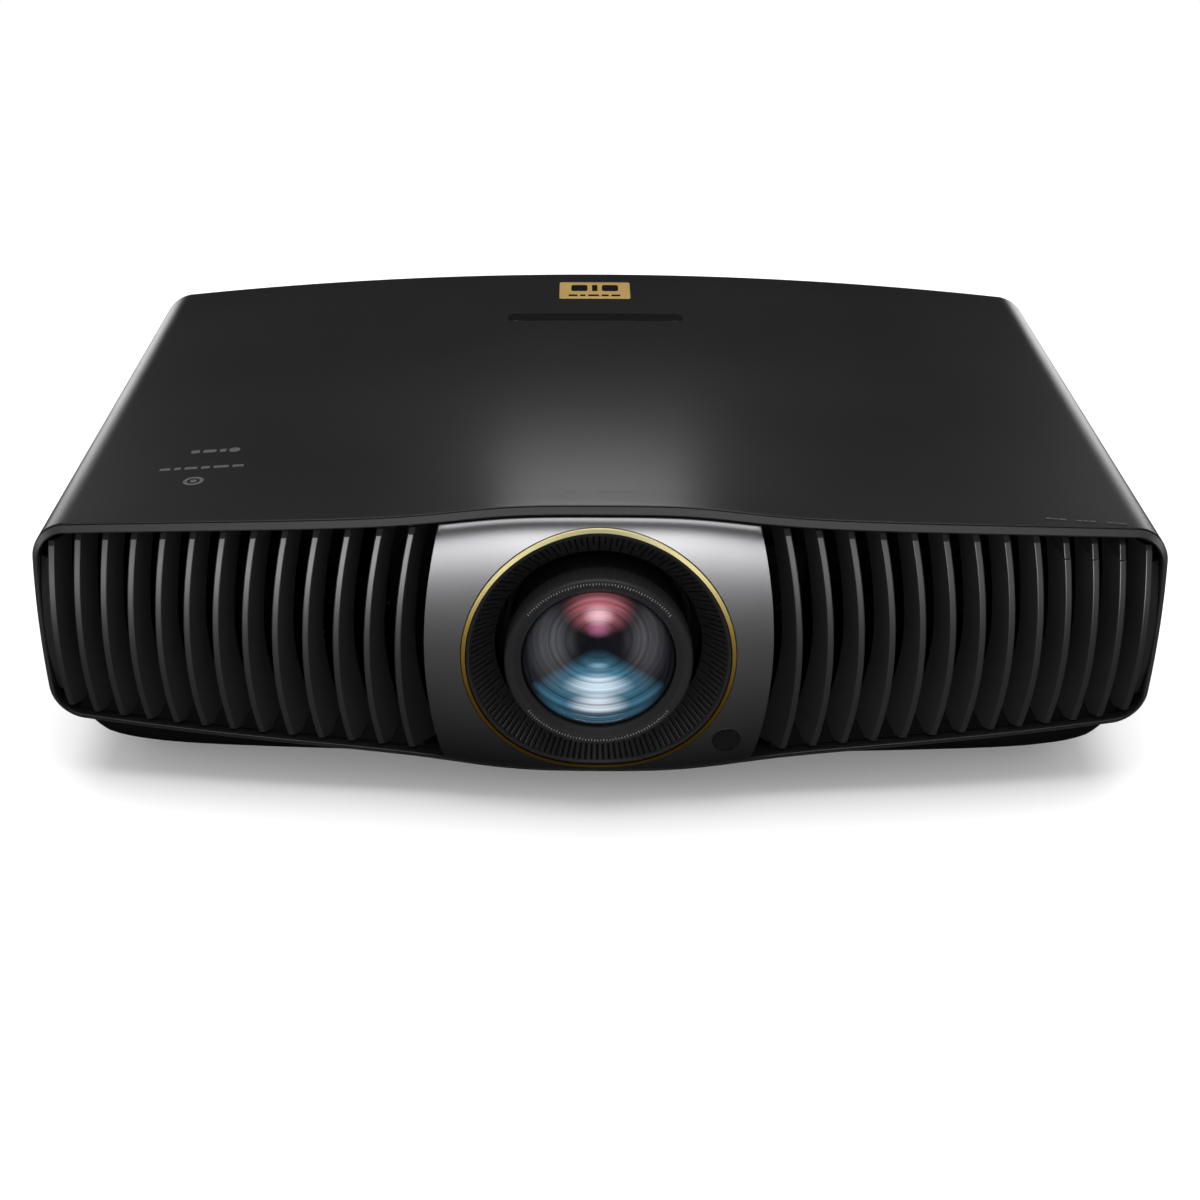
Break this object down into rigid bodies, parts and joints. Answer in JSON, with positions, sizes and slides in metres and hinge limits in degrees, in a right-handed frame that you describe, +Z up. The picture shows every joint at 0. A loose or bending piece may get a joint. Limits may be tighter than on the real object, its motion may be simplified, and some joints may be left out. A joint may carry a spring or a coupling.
{
  "type": "home projector",
  "caption": "Wide low black home-cinema projector with louvred front grilles, satin lens panel, gold lens ring, motorised shift, zoom and focus lens, and screw-adjustable feet.",
  "frame": {"origin": "centre of the footprint on the surface the projector stands on", "axes": "+X to the right seen from the front, -Y out of the lens, +Z up"},
  "size_m": [0.491, 0.3624, 0.1437],
  "materials": {
    "case_black": "fine satin black paint",
    "base_black": "matt moulded black",
    "grille_black": "satin moulded black",
    "light_guide": "smoked translucent black",
    "panel_gunmetal": "satin gunmetal metallic paint",
    "trim_gold": "polished gold plating",
    "badge_gold": "brushed gold plating",
    "inlay_gloss": "gloss black",
    "funnel_black": "matt black with fine radial ribs",
    "lens_black": "black anodised, fine knurl",
    "lens_glass": "multi-coated optical glass",
    "foot_rubber": "matt black rubber",
    "port_steel": "plated steel",
    "inlet_black": "matt black",
    "key_plate_gloss": "gloss black",
    "key_black": "satin black",
    "steel": "zinc plated",
    "cast_alloy": "as cast",
    "fan_black": "matt black",
    "circuit_board": "solder mask"
  },
  "bodies": {
    "case": {"top_cover": "case_black", "bottom_case": "case_black", "base_plinth": "base_black", "rear_panel": "base_black", "filter_cover": "base_black", "left_grille": "grille_black", "right_grille": "grille_black", "status_light_guide_1": "light_guide", "status_light_guide_2": "light_guide", "status_light_guide_3": "light_guide", "lens_panel": "panel_gunmetal", "lens_trim_ring": "trim_gold", "top_badge": "badge_gold", "top_inlay": "inlay_gloss", "ir_window": "inlay_gloss", "lens_funnel": "funnel_black", "terminal_plate": "port_steel", "hdmi_port_1": "port_steel", "hdmi_port_2": "port_steel", "lan_port": "port_steel", "ac_inlet": "inlet_black", "key_plate": "key_plate_gloss", "horizontal_shift_motor": "steel", "chassis_tray": "steel", "wheel_motor": "steel", "lens_mount_bracket": "cast_alloy", "light_engine": "cast_alloy", "laser_module": "cast_alloy", "fan_frame_left": "fan_black", "fan_frame_right": "fan_black", "power_supply_board": "circuit_board", "main_board": "circuit_board"},
    "foot_front_left": {"foot_front_left": "foot_rubber"},
    "foot_front_right": {"foot_front_right": "foot_rubber"},
    "foot_rear_left": {"foot_rear_left": "foot_rubber"},
    "foot_rear_right": {"foot_rear_right": "foot_rubber"},
    "horizontal_stage": {"horizontal_shift_stage": "cast_alloy", "vertical_shift_motor": "steel"},
    "vertical_stage": {"vertical_shift_stage": "cast_alloy", "lens_barrel": "lens_black", "focus_motor": "steel", "zoom_motor": "steel"},
    "horizontal_screw": {"horizontal_shift_screw": "steel"},
    "vertical_screw": {"vertical_shift_screw": "steel"},
    "focus_ring": {"focus_ring": "lens_black"},
    "focus_pinion": {"focus_pinion": "steel"},
    "zoom_ring": {"zoom_ring": "lens_black"},
    "zoom_pinion": {"zoom_pinion": "steel"},
    "front_group": {"front_barrel": "lens_black", "front_glass": "lens_glass"},
    "fan_left": {"fan_rotor_left": "fan_black"},
    "fan_right": {"fan_rotor_right": "fan_black"},
    "phosphor_wheel": {"phosphor_wheel": "cast_alloy"},
    "power_key": {"power_key": "key_black"},
    "menu_key": {"menu_key": "key_black"},
    "ok_key": {"ok_key": "key_black"},
    "key_up": {"key_up": "key_black"},
    "key_down": {"key_down": "key_black"},
    "key_left": {"key_left": "key_black"},
    "key_right": {"key_right": "key_black"}
  },
  "joints": [
    {"name": "foot_front_left_screw", "type": "slide", "parent": "case", "child": "foot_front_left", "axis": [0, 0, -1], "range_m": [0, 0.012]},
    {"name": "foot_front_right_screw", "type": "slide", "parent": "case", "child": "foot_front_right", "axis": [0, 0, -1], "range_m": [0, 0.012]},
    {"name": "foot_rear_left_screw", "type": "slide", "parent": "case", "child": "foot_rear_left", "axis": [0, 0, -1], "range_m": [0, 0.012]},
    {"name": "foot_rear_right_screw", "type": "slide", "parent": "case", "child": "foot_rear_right", "axis": [0, 0, -1], "range_m": [0, 0.012]},
    {"name": "horizontal_shift", "type": "slide", "parent": "case", "child": "horizontal_stage", "axis": [1, 0, 0], "range_m": [-0.002, 0.002]},
    {"name": "horizontal_screw_turn", "type": "hinge", "parent": "case", "child": "horizontal_screw", "pos_m": [-0.11, -0.0695, 0.05], "axis": [1, 0, 0], "range_deg": [-361, 361]},
    {"name": "vertical_shift", "type": "slide", "parent": "horizontal_stage", "child": "vertical_stage", "axis": [0, 0, 1], "range_m": [-0.003, 0.003]},
    {"name": "vertical_screw_turn", "type": "hinge", "parent": "horizontal_stage", "child": "vertical_screw", "pos_m": [0.09, -0.0778, 0.09], "axis": [0, 0, 1], "range_deg": [-541, 541]},
    {"name": "focus_turn", "type": "hinge", "parent": "vertical_stage", "child": "focus_ring", "pos_m": [0, -0.135, 0.078], "axis": [0, -1, 0], "range_deg": [0, 100]},
    {"name": "focus_pinion_turn", "type": "hinge", "parent": "vertical_stage", "child": "focus_pinion", "pos_m": [0.05211, -0.135, 0.0537], "axis": [0, -1, 0], "range_deg": [-668, 0]},
    {"name": "focus_travel", "type": "slide", "parent": "vertical_stage", "child": "front_group", "axis": [0, -1, 0], "range_m": [0, 0.00401]},
    {"name": "zoom_turn", "type": "hinge", "parent": "vertical_stage", "child": "zoom_ring", "pos_m": [0, -0.117, 0.078], "axis": [0, -1, 0], "range_deg": [0, 80]},
    {"name": "zoom_pinion_turn", "type": "hinge", "parent": "vertical_stage", "child": "zoom_pinion", "pos_m": [-0.05211, -0.117, 0.0537], "axis": [0, -1, 0], "range_deg": [-534, 0]},
    {"name": "fan_left_spin", "type": "hinge", "parent": "case", "child": "fan_left", "pos_m": [-0.15, -0.115, 0.08], "axis": [0, -1, 0], "continuous": true},
    {"name": "fan_right_spin", "type": "hinge", "parent": "case", "child": "fan_right", "pos_m": [0.15, -0.115, 0.08], "axis": [0, -1, 0], "continuous": true},
    {"name": "phosphor_wheel_spin", "type": "hinge", "parent": "case", "child": "phosphor_wheel", "pos_m": [-0.078, 0.025, 0.075], "axis": [1, 0, 0], "continuous": true},
    {"name": "power_key_press", "type": "slide", "parent": "case", "child": "power_key", "axis": [0, -1, 0], "range_m": [0, 0.001], "stiffness_N_per_m": 1200},
    {"name": "menu_key_press", "type": "slide", "parent": "case", "child": "menu_key", "axis": [0, -1, 0], "range_m": [0, 0.001], "stiffness_N_per_m": 1200},
    {"name": "ok_key_press", "type": "slide", "parent": "case", "child": "ok_key", "axis": [0, -1, 0], "range_m": [0, 0.001], "stiffness_N_per_m": 1200},
    {"name": "key_up_press", "type": "slide", "parent": "case", "child": "key_up", "axis": [0, -1, 0], "range_m": [0, 0.001], "stiffness_N_per_m": 1200},
    {"name": "key_down_press", "type": "slide", "parent": "case", "child": "key_down", "axis": [0, -1, 0], "range_m": [0, 0.001], "stiffness_N_per_m": 1200},
    {"name": "key_left_press", "type": "slide", "parent": "case", "child": "key_left", "axis": [0, -1, 0], "range_m": [0, 0.001], "stiffness_N_per_m": 1200},
    {"name": "key_right_press", "type": "slide", "parent": "case", "child": "key_right", "axis": [0, -1, 0], "range_m": [0, 0.001], "stiffness_N_per_m": 1200}
  ],
  "couplings": [
    {"joint": "horizontal_screw_turn", "follows": "horizontal_shift", "rad_per_m": 3141.6},
    {"joint": "vertical_screw_turn", "follows": "vertical_shift", "rad_per_m": 3141.6},
    {"joint": "focus_pinion_turn", "follows": "focus_turn", "ratio": -6.6667},
    {"joint": "focus_travel", "follows": "focus_turn", "m_per_rad": 0.0022918},
    {"joint": "zoom_pinion_turn", "follows": "zoom_turn", "ratio": -6.6667}
  ]
}
